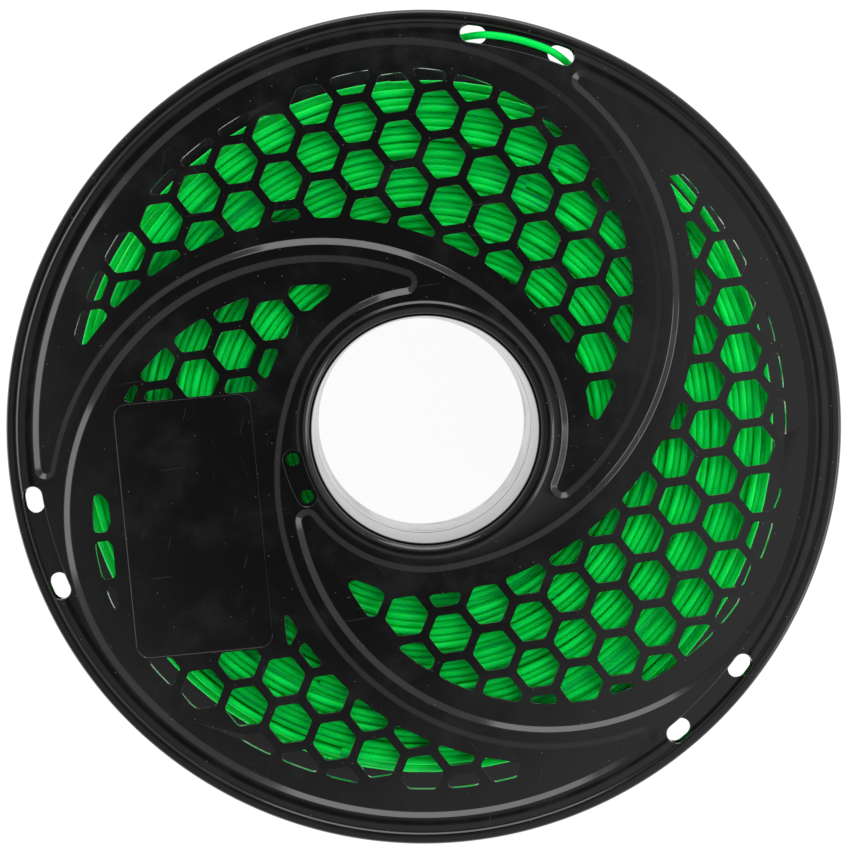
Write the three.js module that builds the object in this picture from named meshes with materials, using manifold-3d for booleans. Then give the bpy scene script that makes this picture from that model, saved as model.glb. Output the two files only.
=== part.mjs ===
// A filament spool: two identical moulded halves, joined at the middle of the hub, wound with
// filament whose loose end is threaded through a pair of clip slots in the upper rim.
// The spool lies flat: +Z is its axis, and z = 0 is the face that it rests on.

import * as THREE from "three";
import { mergeVertices } from "three/addons/utils/BufferGeometryUtils.js";
import Module from "manifold-3d";

const wasm = await Module();
wasm.setup();

// ---------------------------------------------------------------------------
// Driving dimensions: millimetres, and degrees anticlockwise from +X seen from above
// ---------------------------------------------------------------------------

const SPOOL_DIAMETER = 200;
const SPOOL_WIDTH = 57;
const BORE_DIAMETER = 54.4;
const FIT_GAP = 0.3; // clearance kept between neighbouring pieces

// Section of one half
const FLANGE_THICKNESS = 3.4; // at the lip, which is the thickest part
const LIP_HEIGHT = 0.3; // the rim's lip and the hub's collar stand this far above the arms
const LIP_WIDTH = 1.0;
const LIP_SLOPE = 0.8;
const RIM_ROUNDING = 1.2;
const LEAF_RECESS = 0.8; // the honeycomb leaves lie this far below the arms
const HUB_WALL = 2.8;
const COLLAR_ROUNDING = 2.3;
const COLLAR_WIDTH = 0.7;
const DRUM_FILLET = 1.5;

// The lower half is the upper one turned over about a level axis in this direction
const TURN_OVER_ANGLE = 6.7;

// The joint between the two halves: tongues on one half stand in pockets of the other
const TONGUE_COUNT = 3;
const TONGUE_ANGLE = 30;
const TONGUE_SPAN = 40;
const TONGUE_LENGTH = 4;
const TONGUE_THICKNESS = 1.2;

// The leaves: each side is an arc about one of three centres that lie around the axis
const LEAF_COUNT = 3;
const RING_RADIUS = 93; // outer edge of every leaf
const HUB_RING_RADIUS = 33.5; // inner edge of every leaf
const ARM_WIDTH = 4.1; // between the sides of neighbouring leaves
const SWIRL_ANGLE = 99.5; // where the first centre lies
const RIM_TIP_RADIUS = 1.8;
const HUB_TIP_RADIUS = 2.2;

// The honeycomb
const HONEYCOMB_PITCH = 11.36;
const WINDOW_ACROSS_FLATS = 9.2;
const HONEYCOMB_ANGLE = -21.75; // direction of its rows
const HONEYCOMB_PHASE = 4.07; // how far the cell nearest to the axis lies from it
const HONEYCOMB_PHASE_ANGLE = 24;
const HONEYCOMB_MARGIN = 6.15; // solid border around the windows of a leaf
const HONEYCOMB_TIP_RADIUS = 0.5; // the border's own corners at the leaf's two tips
const SMALLEST_WINDOW = 8; // mm2: smaller slivers stay closed

// The clip slots, a pair of them at each leaf, and the trough that joins a pair
const SLOT_RADIUS = 95.1;
const SLOT_LENGTH = 6.4;
const SLOT_WIDTH = 4.4;
const SLOT_ANGLES = [70.1, 83.1];
const TROUGH_DEPTH = 1.9;

// The anchor pocket beside the hub, with a hole at each end
const ANCHOR_RADIUS = 32.5;
const ANCHOR_ANGLES = [192.6, 209.4];
const ANCHOR_POCKET_WIDTH = 4.6;
const ANCHOR_POCKET_DEPTH = 1.0;
const ANCHOR_HOLE_DIAMETER = 3.2;

// The bare label panel on the third leaf
const PANEL_WIDTH = 32.6;
const PANEL_LENGTH = 61;
const PANEL_X = -55.6;
const PANEL_Y = -23.1;
const PANEL_TURN = 5.3;
const PANEL_CORNER = 3;
const PANEL_DEPTH = 0.3;
const PANEL_BORDER = 0.4;

// The filament
const FILAMENT_DIAMETER = 1.75;
const WINDING_DIAMETER = 168.6;
const RIB_TURNS = 5.5; // one rib of the winding stands for this many turns side by side
const RIB_DEPTH = 0.5; // of the grooves between the ribs

// How finely round things are divided
const AROUND = 60; // steps of a full turn about the axis
const CHORD = 9; // longest step of an arc
const ARC_STEP = 40; // degrees: most that an arc turns in one step
const STRAND_SIDES = 8;
const STRAND_STEPS = 48;
const WELD = 1e-4; // corners closer than this are one corner

// How far a cutter or a joining block runs past the face that it goes through
const CUTTER_REACH = 5;
const OVERRUN = 1;

// ---------------------------------------------------------------------------
// What follows from them
// ---------------------------------------------------------------------------

const THIRD = 360 / LEAF_COUNT;
const OUTER_RADIUS = SPOOL_DIAMETER / 2;
const BORE_RADIUS = BORE_DIAMETER / 2;
const DRUM_RADIUS = BORE_RADIUS + HUB_WALL;

// The sides touch the leaf's own edges: the outer one the ring's, the inner one the hub ring's.
// How far their centres lie from the axis then follows from the width of an arm.
const SWIRL_OFFSET = (RING_RADIUS - HUB_RING_RADIUS + ARM_WIDTH) / 2;

// Heights of one half, measured from the middle of the spool
const LIP_Z = SPOOL_WIDTH / 2;
const ARM_Z = LIP_Z - LIP_HEIGHT;
const LEAF_Z = ARM_Z - LEAF_RECESS;
const INNER_Z = LIP_Z - FLANGE_THICKNESS;
const TROUGH_Z = ARM_Z - TROUGH_DEPTH;
const SEAM_Z = FIT_GAP / 2;
const CUT_ABOVE = LIP_Z + CUTTER_REACH; // cutters reach from here
const CUT_BELOW = INNER_Z - CUTTER_REACH; // to here when they go right through

const filamentRadius = FILAMENT_DIAMETER / 2;
const windingRadius = WINDING_DIAMETER / 2;

// ---------------------------------------------------------------------------
// Helpers
// ---------------------------------------------------------------------------

const { degToRad, radToDeg } = THREE.MathUtils;

function polar(radius, degrees) {
  const a = degToRad(degrees);
  return new THREE.Vector2(radius * Math.cos(a), radius * Math.sin(a));
}

function bearing(from, to) {
  return radToDeg(Math.atan2(to.y - from.y, to.x - from.x));
}

// The same direction as degrees, brought into the full turn that starts at base.
function turnedFrom(base, degrees) {
  return base + THREE.MathUtils.euclideanModulo(degrees - base, 360);
}

// Points on an arc from one direction to another; it runs clockwise when to is less than from.
function arc(centre, radius, from, to) {
  const sweep = Math.abs(to - from);
  const byTurn = Math.ceil(sweep / ARC_STEP);
  const byLength = Math.ceil((degToRad(sweep) * radius) / CHORD);
  const steps = Math.max(2, byTurn, byLength);
  return Array.from({ length: steps + 1 }, (_, i) =>
    polar(radius, from + ((to - from) * i) / steps).add(centre),
  );
}

// A closed geometry as a solid.
function solidOf(geometry) {
  const bare = geometry.index ? geometry.toNonIndexed() : geometry.clone();
  bare.deleteAttribute("normal");
  bare.deleteAttribute("uv");
  const merged = mergeVertices(bare, WELD);
  return new wasm.Manifold(
    new wasm.Mesh({
      numProp: 3,
      vertProperties: merged.attributes.position.array,
      triVerts: new Uint32Array(merged.index.array),
    }),
  );
}

// An outline, given as points, raised into a prism between two heights.
function prism(points, bottom, top) {
  const shape = new THREE.Shape(points);
  const geometry = new THREE.ExtrudeGeometry(shape, { depth: top - bottom, bevelEnabled: false });
  return solidOf(geometry.translate(0, 0, bottom));
}

// A closed profile of [radius, height] points, turned about the axis.
function turned(profile) {
  const closed = [...profile, profile[0]].map(([r, z]) => new THREE.Vector2(r, z));
  const lathe = new THREE.LatheGeometry(closed, AROUND);
  return solidOf(lathe.rotateX(Math.PI / 2));
}

// A stretch of a ring with round ends, as wide as given, between two directions.
function ringSlot(radius, width, from, to, bottom, top) {
  const half = width / 2;
  const origin = new THREE.Vector2();
  const outline = [
    ...arc(origin, radius + half, from, to),
    ...arc(polar(radius, to), half, to, to + 180).slice(1, -1),
    ...arc(origin, radius - half, to, from),
    ...arc(polar(radius, from), half, from + 180, from + 360).slice(1, -1),
  ];
  return prism(outline, bottom, top);
}

function rotated(solid, degrees) {
  return solid.rotate([0, 0, degrees]);
}

function union(solids) {
  return wasm.Manifold.union(solids);
}

// ---------------------------------------------------------------------------
// Outlines
// ---------------------------------------------------------------------------

// The first leaf's outline, drawn in by an inset. It runs anticlockwise: along the rim to the thin
// tip, back along the inner arc and around the hub to the second tip, and out along the outer arc.
function leafOutline(inset, rimTip, hubTip) {
  const origin = new THREE.Vector2();
  const outerAngle = SWIRL_ANGLE;
  const innerAngle = SWIRL_ANGLE + THIRD;
  const outerCentre = polar(SWIRL_OFFSET, outerAngle);
  const innerCentre = polar(SWIRL_OFFSET, innerAngle);
  const ring = RING_RADIUS - inset;
  const hub = HUB_RING_RADIUS + inset;
  const outerSide = ring - SWIRL_OFFSET;
  const innerSide = hub + SWIRL_OFFSET;

  // Centre of the round tip where two arcs meet: it lies at these distances from the axis and
  // from the centre of the side arc.
  const tipCentre = (fromAxis, fromSide, sideAngle) => {
    const cosine =
      (fromAxis ** 2 + SWIRL_OFFSET ** 2 - fromSide ** 2) / (2 * fromAxis * SWIRL_OFFSET);
    return polar(fromAxis, sideAngle - radToDeg(Math.acos(cosine)));
  };
  const rimCentre = tipCentre(ring - rimTip, innerSide + rimTip, innerAngle);
  const hubCentre = tipCentre(hub + hubTip, outerSide - hubTip, outerAngle);

  const rimEnd = turnedFrom(outerAngle, bearing(origin, rimCentre));
  const innerStart = bearing(innerCentre, rimCentre);
  const tangent = innerAngle - 180;
  const hubEnd = bearing(origin, hubCentre);
  const outerStart = bearing(outerCentre, hubCentre);

  return [
    ...arc(origin, ring, outerAngle, rimEnd),
    ...arc(rimCentre, rimTip, rimEnd, turnedFrom(rimEnd, innerStart + 180)).slice(1),
    ...arc(innerCentre, innerSide, turnedFrom(tangent, innerStart), tangent).slice(1),
    ...arc(origin, hub, tangent, hubEnd).slice(1),
    ...arc(hubCentre, hubTip, hubEnd + 180, turnedFrom(hubEnd + 180, outerStart)).slice(1),
    ...arc(outerCentre, outerSide, outerStart, outerAngle).slice(1, -1),
  ];
}

function panelOutline(grow) {
  const x = PANEL_WIDTH / 2 + grow - PANEL_CORNER;
  const y = PANEL_LENGTH / 2 + grow - PANEL_CORNER;
  const corners = [[x, y, 0], [-x, y, 90], [-x, -y, 180], [x, -y, 270]];
  const middle = new THREE.Vector2(PANEL_X, PANEL_Y);
  return corners.flatMap(([cx, cy, from]) =>
    arc(new THREE.Vector2(cx, cy), PANEL_CORNER, from, from + 90).map((p) =>
      p.rotateAround(new THREE.Vector2(), degToRad(PANEL_TURN)).add(middle),
    ),
  );
}

// ---------------------------------------------------------------------------
// One moulded half: its hub opens down at the middle of the spool, its flange is on top
// ---------------------------------------------------------------------------

function halfBlank() {
  const collar = arc(
    new THREE.Vector2(BORE_RADIUS + COLLAR_ROUNDING, LIP_Z - COLLAR_ROUNDING),
    COLLAR_ROUNDING,
    180,
    90,
  ).map((p) => [p.x, p.y]);
  const collarEdge = BORE_RADIUS + COLLAR_ROUNDING + COLLAR_WIDTH;
  const lipOuter = OUTER_RADIUS - RIM_ROUNDING;
  const lipInner = lipOuter - LIP_WIDTH;
  return turned([
    [BORE_RADIUS, SEAM_Z],
    [DRUM_RADIUS, SEAM_Z],
    [DRUM_RADIUS, INNER_Z - DRUM_FILLET],
    [DRUM_RADIUS + DRUM_FILLET, INNER_Z],
    [OUTER_RADIUS - RIM_ROUNDING / 2, INNER_Z],
    [OUTER_RADIUS, INNER_Z + RIM_ROUNDING / 2],
    [OUTER_RADIUS, LIP_Z - RIM_ROUNDING],
    [lipOuter, LIP_Z],
    [lipInner, LIP_Z],
    [lipInner - LIP_SLOPE, ARM_Z],
    [collarEdge + LIP_SLOPE, ARM_Z],
    [collarEdge, LIP_Z],
    ...collar.reverse(),
  ]);
}

// A stretch of a ring around the axis, between two radii and two heights.
function ringBlock(angle, span, inside, outside, bottom, top) {
  const ring = turned([[inside, bottom], [outside, bottom], [outside, top], [inside, top]]);
  const far = 2 * outside;
  const wedge = [new THREE.Vector2(), polar(far, angle - span / 2), polar(far, angle + span / 2)];
  return ring.intersect(prism(wedge, bottom - OVERRUN, top + OVERRUN));
}

// The centres of the honeycomb's cells that can reach the first leaf.
function cellCentres() {
  const along = polar(HONEYCOMB_PITCH, HONEYCOMB_ANGLE);
  const across = polar(HONEYCOMB_PITCH, HONEYCOMB_ANGLE - 60);
  const first = polar(HONEYCOMB_PHASE, HONEYCOMB_PHASE_ANGLE);
  const reach = Math.ceil((2 * RING_RADIUS) / HONEYCOMB_PITCH);
  const centres = [];
  for (let i = -reach; i <= reach; i += 1) {
    for (let j = -reach; j <= reach; j += 1) {
      const centre = first.clone().addScaledVector(along, i).addScaledVector(across, j);
      const distance = centre.length();
      if (distance < RING_RADIUS && distance > HUB_RING_RADIUS) centres.push(centre);
    }
  }
  return centres;
}

// The windows of all leaves, each a prism cut off at the leaf's solid border and at the panel.
function windows() {
  const height = CUT_ABOVE - CUT_BELOW;
  const smallest = SMALLEST_WINDOW * height;
  const cornerRadius = WINDOW_ACROSS_FLATS / Math.sqrt(3);
  const border = leafOutline(HONEYCOMB_MARGIN, HONEYCOMB_TIP_RADIUS, HONEYCOMB_TIP_RADIUS);
  const field = prism(border, CUT_BELOW, CUT_ABOVE);
  const panel = prism(panelOutline(PANEL_BORDER), CUT_BELOW, CUT_ABOVE);
  const cells = cellCentres().map((centre) => {
    const corners = Array.from({ length: 6 }, (_, k) =>
      polar(cornerRadius, HONEYCOMB_ANGLE + 30 + 60 * k).add(centre),
    );
    return prism(corners, CUT_BELOW, CUT_ABOVE).intersect(field);
  });
  const open = cells.filter((cell) => cell.volume() > smallest);
  const leaves = Array.from({ length: LEAF_COUNT }, (_, k) => -THIRD * k);
  const all = leaves.flatMap((turn) => open.map((cell) => rotated(cell, turn).subtract(panel)));
  return union(all.filter((cell) => cell.volume() > smallest));
}

// The pair of clip slots at the first leaf, and the trough that joins them.
function clipSlots() {
  const halfSlot = radToDeg((SLOT_LENGTH - SLOT_WIDTH) / 2 / SLOT_RADIUS);
  const [first, last] = SLOT_ANGLES;
  const slots = SLOT_ANGLES.map((a) =>
    ringSlot(SLOT_RADIUS, SLOT_WIDTH, a - halfSlot, a + halfSlot, CUT_BELOW, CUT_ABOVE),
  );
  const trough = ringSlot(
    SLOT_RADIUS, SLOT_WIDTH, first - halfSlot, last + halfSlot, TROUGH_Z, CUT_ABOVE,
  );
  return [...slots, trough];
}

// The shallow pocket beside the hub, and the hole at each of its ends.
function anchorPocket() {
  const floor = ARM_Z - ANCHOR_POCKET_DEPTH;
  const holes = ANCHOR_ANGLES.map((angle) => {
    const circle = arc(polar(ANCHOR_RADIUS, angle), ANCHOR_HOLE_DIAMETER / 2, 0, 360).slice(1);
    return prism(circle, CUT_BELOW, CUT_ABOVE);
  });
  return [ringSlot(ANCHOR_RADIUS, ANCHOR_POCKET_WIDTH, ...ANCHOR_ANGLES, floor, CUT_ABOVE), ...holes];
}

// The tongues that stand out of the end of the hub, and the pockets for the other half's tongues.
function hubJoint() {
  const tongueWall = DRUM_RADIUS - TONGUE_THICKNESS;
  const tongueEnd = SEAM_Z - TONGUE_LENGTH;
  const pocketWall = tongueWall - FIT_GAP;
  const pocketEnd = -tongueEnd + FIT_GAP;
  const pocketAngle = 2 * TURN_OVER_ANGLE - TONGUE_ANGLE; // where turning over brings a tongue
  const pocketSpan = TONGUE_SPAN + 2 * radToDeg(FIT_GAP / DRUM_RADIUS);
  const turns = Array.from({ length: TONGUE_COUNT }, (_, k) => (360 / TONGUE_COUNT) * k);
  const tongues = turns.map((turn) =>
    ringBlock(
      turn + TONGUE_ANGLE, TONGUE_SPAN, tongueWall, DRUM_RADIUS, tongueEnd, SEAM_Z + OVERRUN,
    ),
  );
  const pockets = turns.map((turn) =>
    ringBlock(
      turn + pocketAngle, pocketSpan, pocketWall, DRUM_RADIUS + OVERRUN, -OVERRUN, pocketEnd,
    ),
  );
  return { tongues, pockets };
}

function spoolHalf() {
  const recess = prism(leafOutline(0, RIM_TIP_RADIUS, HUB_TIP_RADIUS), LEAF_Z, CUT_ABOVE);
  const perLeaf = [recess, ...clipSlots()];
  const turns = Array.from({ length: LEAF_COUNT }, (_, k) => -THIRD * k);
  const { tongues, pockets } = hubJoint();
  const cuts = [
    windows(),
    ...turns.flatMap((turn) => perLeaf.map((cutter) => rotated(cutter, turn))),
    prism(panelOutline(0), LEAF_Z - PANEL_DEPTH, CUT_ABOVE),
    ...anchorPocket(),
    ...pockets,
  ];
  return union([halfBlank(), ...tongues]).subtract(union(cuts));
}

// ---------------------------------------------------------------------------
// The filament
// ---------------------------------------------------------------------------

// A straight stretch of the winding's section: crests on the line, and a groove between every two.
function ribbed(start, end, sink) {
  const length = Math.hypot(end[0] - start[0], end[1] - start[1]);
  const ribs = Math.max(1, Math.round(length / (RIB_TURNS * FILAMENT_DIAMETER)));
  const between = (share) => start.map((from, axis) => from + (end[axis] - from) * share);
  const points = [start];
  for (let rib = 0; rib < ribs; rib += 1) {
    const groove = between((rib + 0.5) / ribs);
    points.push(groove.map((value, axis) => value + sink[axis]));
    points.push(between((rib + 1) / ribs));
  }
  return points;
}

// The wound strand as one ribbed ring, with its shoulders rounded and its outside a little crowned.
function winding() {
  const inside = DRUM_RADIUS + FIT_GAP;
  const top = INNER_Z - FIT_GAP;
  const shoulder = FILAMENT_DIAMETER;
  const fillet = DRUM_FILLET + FIT_GAP;
  const sideEnd = [windingRadius - shoulder / 4, top - 2 * shoulder];
  const faceStart = [windingRadius - 2 * shoulder, top];
  const faceEnd = [inside + fillet, top];
  const upper = [
    ...ribbed([windingRadius, 0], sideEnd, [-RIB_DEPTH, 0]),
    [windingRadius - shoulder, top - shoulder / 2],
    ...ribbed(faceStart, faceEnd, [0, -RIB_DEPTH]),
    [inside, top - fillet],
  ];
  const lower = upper.slice(1).map(([r, z]) => [r, -z]);
  return turned([...lower.reverse(), ...upper]);
}

// The loose outer end: it leaves the winding, comes up through the first slot, lies in the trough,
// goes down through the second slot and ends under the flange. [degrees, radius, height]
function looseEnd() {
  const onWinding = windingRadius + FIT_GAP + filamentRadius;
  const under = INNER_Z - FIT_GAP - filamentRadius;
  const inTrough = TROUGH_Z + FIT_GAP + filamentRadius;
  const halfway = (under + inTrough) / 2;
  const [first, last] = SLOT_ANGLES;
  const reach = radToDeg(SLOT_LENGTH / 2 / SLOT_RADIUS);
  // Under the flange it lies beside the winding, never in it.
  const beside = (radius) => Math.max(radius, onWinding);
  // It runs straight from the winding to the near end of the first slot, along a tangent.
  const entry = beside(SLOT_RADIUS - 1.2);
  const tangentTurn = radToDeg(Math.acos(onWinding / entry));
  const touch = first - reach - tangentTurn;
  const straight = (degrees) => {
    const turn = degToRad(Math.max(0, degrees - touch));
    return [degrees, onWinding / Math.cos(turn), under];
  };
  const run = Math.max(tangentTurn, 4 * reach); // the stretch that the next points divide
  const leave = first - reach - run;
  const route = [
    [leave - 14, onWinding, under],
    [leave - 7, onWinding, under],
    [leave, onWinding, under],
    straight(leave + run / 3),
    straight(leave + (run * 2) / 3),
    straight(first - 2 * reach),
    [first - reach, entry, under],
    [first, SLOT_RADIUS - 0.3, halfway],
    [first + 0.9 * reach, SLOT_RADIUS + 0.1, inTrough - 0.15],
    [first + 1.6 * reach, SLOT_RADIUS + 0.3, inTrough],
    [(first + last) / 2, SLOT_RADIUS + 0.5, inTrough],
    [last - 1.6 * reach, SLOT_RADIUS + 0.3, inTrough],
    [last - 0.9 * reach, SLOT_RADIUS + 0.1, inTrough - 0.15],
    [last, SLOT_RADIUS - 0.3, halfway],
    [last + reach, beside(SLOT_RADIUS - 0.9), under],
    [last + 2.5 * reach, beside(SLOT_RADIUS - 1.5), under],
    [last + 4 * reach, beside(SLOT_RADIUS - 2.1), under],
  ];
  const points = route.map(([degrees, radius, z]) => {
    const p = polar(radius, degrees);
    return new THREE.Vector3(p.x, p.y, z);
  });
  const section = new THREE.Shape(
    Array.from({ length: STRAND_SIDES }, (_, k) => polar(filamentRadius, (360 / STRAND_SIDES) * k)),
  );
  const tube = new THREE.ExtrudeGeometry(section, {
    steps: STRAND_STEPS,
    extrudePath: new THREE.CatmullRomCurve3(points),
  });
  return solidOf(tube);
}

// ---------------------------------------------------------------------------
// The assembly
// ---------------------------------------------------------------------------

const blackPlastic = new THREE.MeshStandardMaterial({
  color: 0x1e1f21,
  roughness: 0.38,
  metalness: 0,
});
const greenFilament = new THREE.MeshStandardMaterial({
  color: 0x07b83a,
  roughness: 0.3,
  metalness: 0,
});

function pieceOf(name, solid, material) {
  const made = solid.getMesh();
  const positions = new Float32Array(made.numVert * 3);
  for (let i = 0; i < made.numVert; i += 1) {
    const start = i * made.numProp;
    positions.set(made.vertProperties.subarray(start, start + 3), i * 3);
  }
  const geometry = new THREE.BufferGeometry();
  geometry.setAttribute("position", new THREE.BufferAttribute(positions, 3));
  geometry.setIndex(new THREE.BufferAttribute(made.triVerts, 1));
  geometry.computeVertexNormals();
  const mesh = new THREE.Mesh(geometry, material);
  mesh.name = name;
  return mesh;
}

const spool = new THREE.Group();
spool.position.z = SPOOL_WIDTH / 2; // the pieces are placed from the middle of the spool

const half = spoolHalf();
const upperHalf = pieceOf("upper_spool_half", half, blackPlastic);
const lowerHalf = pieceOf("lower_spool_half", half, blackPlastic);
const turnOverAxis = polar(1, TURN_OVER_ANGLE);
lowerHalf.rotateOnAxis(new THREE.Vector3(turnOverAxis.x, turnOverAxis.y, 0), Math.PI);
spool.add(upperHalf, lowerHalf);
spool.add(pieceOf("filament_winding", winding(), greenFilament));
spool.add(pieceOf("filament_loose_end", looseEnd(), greenFilament));

const assembly = new THREE.Group();
assembly.add(spool);

export default assembly;
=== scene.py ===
# %% [markdown]
# # A filament spool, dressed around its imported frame
# The real object is two identical halves of black moulded plastic, joined at the middle of the hub and
# wound with bright green filament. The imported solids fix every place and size. This script gives each
# piece the finer shape and the finish that show in a photograph taken straight down on the spool.

# %% Load the frame
import math

import bmesh
import bpy
import numpy as np
from mathutils import Matrix, Vector


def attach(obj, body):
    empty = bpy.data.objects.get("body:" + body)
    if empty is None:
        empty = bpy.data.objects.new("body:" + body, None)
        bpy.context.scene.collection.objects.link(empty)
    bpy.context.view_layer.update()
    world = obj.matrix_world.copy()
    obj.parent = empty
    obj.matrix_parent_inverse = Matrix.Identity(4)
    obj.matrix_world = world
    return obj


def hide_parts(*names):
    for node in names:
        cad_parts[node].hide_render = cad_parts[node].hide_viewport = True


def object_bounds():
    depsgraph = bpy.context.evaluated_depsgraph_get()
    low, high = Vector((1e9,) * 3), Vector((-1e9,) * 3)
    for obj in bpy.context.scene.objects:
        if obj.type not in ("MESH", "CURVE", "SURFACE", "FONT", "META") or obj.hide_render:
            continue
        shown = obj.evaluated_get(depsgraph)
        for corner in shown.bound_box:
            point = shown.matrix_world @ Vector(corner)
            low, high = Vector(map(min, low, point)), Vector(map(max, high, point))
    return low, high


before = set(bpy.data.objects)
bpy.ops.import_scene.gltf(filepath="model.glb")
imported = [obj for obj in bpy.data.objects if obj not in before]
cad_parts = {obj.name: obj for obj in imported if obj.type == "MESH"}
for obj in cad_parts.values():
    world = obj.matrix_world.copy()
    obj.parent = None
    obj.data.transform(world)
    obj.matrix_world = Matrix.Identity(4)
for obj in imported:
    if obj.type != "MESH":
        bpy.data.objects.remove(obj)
cad_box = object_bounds()
MM = 0.001
print("frame:", sorted(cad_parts), [round(x / MM, 2) for x in cad_box[1] - cad_box[0]], "mm")

# %% [markdown]
# ## The camera
# The photograph looks down on the flange from half a metre, a little off the axis: the far edge of the
# bore shows smaller than the near one, and shifted. Those two facts give the distance and the place.
# The camera looks at the middle of the picture with its top towards +Y, with no lens shift.

# %% The camera
top = cad_box[1].z / MM  # the upper flange's lip
CAMERA_PLACE = Vector((-9.98, 22.15, top + 506.0))
CAMERA_AIM = Vector((-0.1, 1.23, top))
PIXELS_PER_MM = 4.186  # in the photograph, at the height of the lip
PICTURE_WIDTH = 850
SENSOR_WIDTH = 36.0


def in_scene(name, data):
    """A new object with this mesh, lamp or camera, in the scene."""
    made = bpy.data.objects.new(name, data)
    bpy.context.scene.collection.objects.link(made)
    return made


def make_camera():
    data = bpy.data.cameras.new("camera")
    data.sensor_width = SENSOR_WIDTH
    distance = CAMERA_PLACE.z - top
    data.lens = SENSOR_WIDTH * PIXELS_PER_MM * distance / PICTURE_WIDTH
    forward = (CAMERA_AIM - CAMERA_PLACE).normalized()
    right = forward.cross(Vector((0, 1, 0))).normalized()
    up = right.cross(forward)
    turn = Matrix((right, up, -forward)).transposed()
    camera = in_scene("camera", data)
    camera.matrix_world = Matrix.Translation(CAMERA_PLACE * MM) @ turn.to_4x4()
    bpy.context.scene.camera = camera
    print("lens", round(data.lens, 1), "mm")


make_camera()

# %% [markdown]
# ## Nodes and colours
# Every node tree below is made with one helper, which adds a node, sets it and links it. Colours are
# written as sRGB hex values, as a paint chart gives them, and turned to the linear values that the
# renderer works with by one function.


# %% Helpers for nodes and colours
def add(tree, kind, *values, named=None, **settings):
    """
    Adds a node and returns its first output. The kind is Blender's name for it, without ShaderNode where it
    starts so, and may end in its operation. Each value is a link to a socket, a value for it, or None.
    """
    kind, _, operation = kind.partition(" ")
    node = tree.nodes.new(kind if "Node" in kind else "ShaderNode" + kind)
    if operation:
        node.operation = operation
    for key, value in settings.items():
        setattr(node, key, value)
    pairs = list(zip([s for s in node.inputs if s.enabled], values))
    pairs += [(node.inputs[key], value) for key, value in (named or {}).items()]
    for socket, value in pairs:
        if isinstance(value, bpy.types.NodeSocket):
            tree.links.new(value, socket)
        elif value is not None:
            socket.default_value = value
    return next((s for s in node.outputs if s.enabled), None)


def linear(colour):
    """An sRGB hex colour as linear RGBA."""
    parts = [((colour >> shift) & 255) / 255 for shift in (16, 8, 0)]
    return [c / 12.92 if c <= 0.04045 else ((c + 0.055) / 1.055) ** 2.4 for c in parts] + [1.0]


SMOOTH = {"interpolation_type": "SMOOTHSTEP"}
ABOUT_AXIS = {"rotation_type": "Z_AXIS"}
SOCKETS = {float: "Float", int: "Int", tuple: "Vector", bpy.types.Object: "Object"}


def geometry_tree(name, sizes):
    """An empty Geometry Nodes tree with a named input for each of these sizes, and its inputs by name."""
    tree = bpy.data.node_groups.new(name, "GeometryNodeTree")
    tree.interface.new_socket("Geometry", in_out="OUTPUT", socket_type="NodeSocketGeometry")
    for key, value in sizes.items():
        tree.interface.new_socket(key, in_out="INPUT", socket_type="NodeSocket" + SOCKETS[type(value)])
    given = tree.nodes.new("NodeGroupInput").outputs
    return tree, {key: given[key] for key in sizes}


def grown(name, tree, sizes):
    """The plain mesh that a Geometry Nodes tree makes with these sizes, as an object of its own."""
    seed = in_scene(name + "_seed", bpy.data.meshes.new(name + "_seed"))
    modifier = seed.modifiers.new("grow", "NODES")
    modifier.node_group = tree
    for item in tree.interface.items_tree:
        if item.in_out == "INPUT":
            modifier[item.identifier] = sizes[item.name]
    evaluated = seed.evaluated_get(bpy.context.evaluated_depsgraph_get())
    mesh = bpy.data.meshes.new_from_object(evaluated)
    bpy.data.objects.remove(seed)
    mesh.name = name
    return in_scene(name, mesh)


# %% [markdown]
# ## Materials
# Both plastics are coloured all the way through, so their own colour changes little from place to place.
# What the eye reads on the black one is its surface: a mould polish dulled by handling, a few scratches and
# some dust. Each of these is a pattern in millimetres on the object's own coordinates.


# %% Helpers for patterns
def new_material(name):
    material = bpy.data.materials.new(name)
    material.use_nodes = True
    tree = material.node_tree
    return material, tree, tree.nodes["Principled BSDF"]


def millimetres(tree):
    """The place on the object in millimetres."""
    place = add(tree, "TexCoord").node.outputs["Object"]
    return add(tree, "VectorMath SCALE", place, 1 / MM)


# %% The filament
DYE_PATCHES = 9  # millimetres across, as for every pattern below
SKIN_PATCHES = 2.5


def filament_material():
    # Real material: extruded PLA with a dye in it, clear enough for light to pass from strand to strand.
    # The eye gets soft, evenly lit strands with thin dark gaps between them. Its green is stronger than a
    # screen can show, which swallows most of the white shine, so the specular level is low.
    material, tree, surface = new_material("extruded green filament")
    surface.inputs["IOR"].default_value = 1.46
    surface.inputs["Specular IOR Level"].default_value = 0.1
    surface.inputs["Subsurface Weight"].default_value = 1.0
    surface.inputs["Subsurface Radius"].default_value = (0.1, 1.0, 0.35)
    surface.inputs["Subsurface Scale"].default_value = 1.1 * MM
    place = millimetres(tree)
    # The dye is a little uneven along the strand, and the skin is duller in places.
    dye = add(tree, "TexNoise", place, 1 / DYE_PATCHES, 2.0)
    colour = add(tree, "Mix", dye, linear(0x00E856), linear(0x00FF66), data_type="RGBA")
    tree.links.new(colour, surface.inputs["Base Color"])
    skin = add(tree, "TexNoise", place, 1 / SKIN_PATCHES, 3.0)
    rough = add(tree, "MapRange", skin, 0.3, 0.7, 0.3, 0.5)
    tree.links.new(rough, surface.inputs["Roughness"])
    return material


# %% The black plastic
HAZE_PATCHES = 14
HAZE_RANGE = (0.44, 0.74)  # of the noise, from clear to dull
DUST_SPACING = 2.6
DUST_EDGE = (0.035, 0.055)  # where a speck's soft edge starts and ends, as a share of the spacing
SINK_PATCHES = 16
SINK_DEPTH = 0.06
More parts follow.
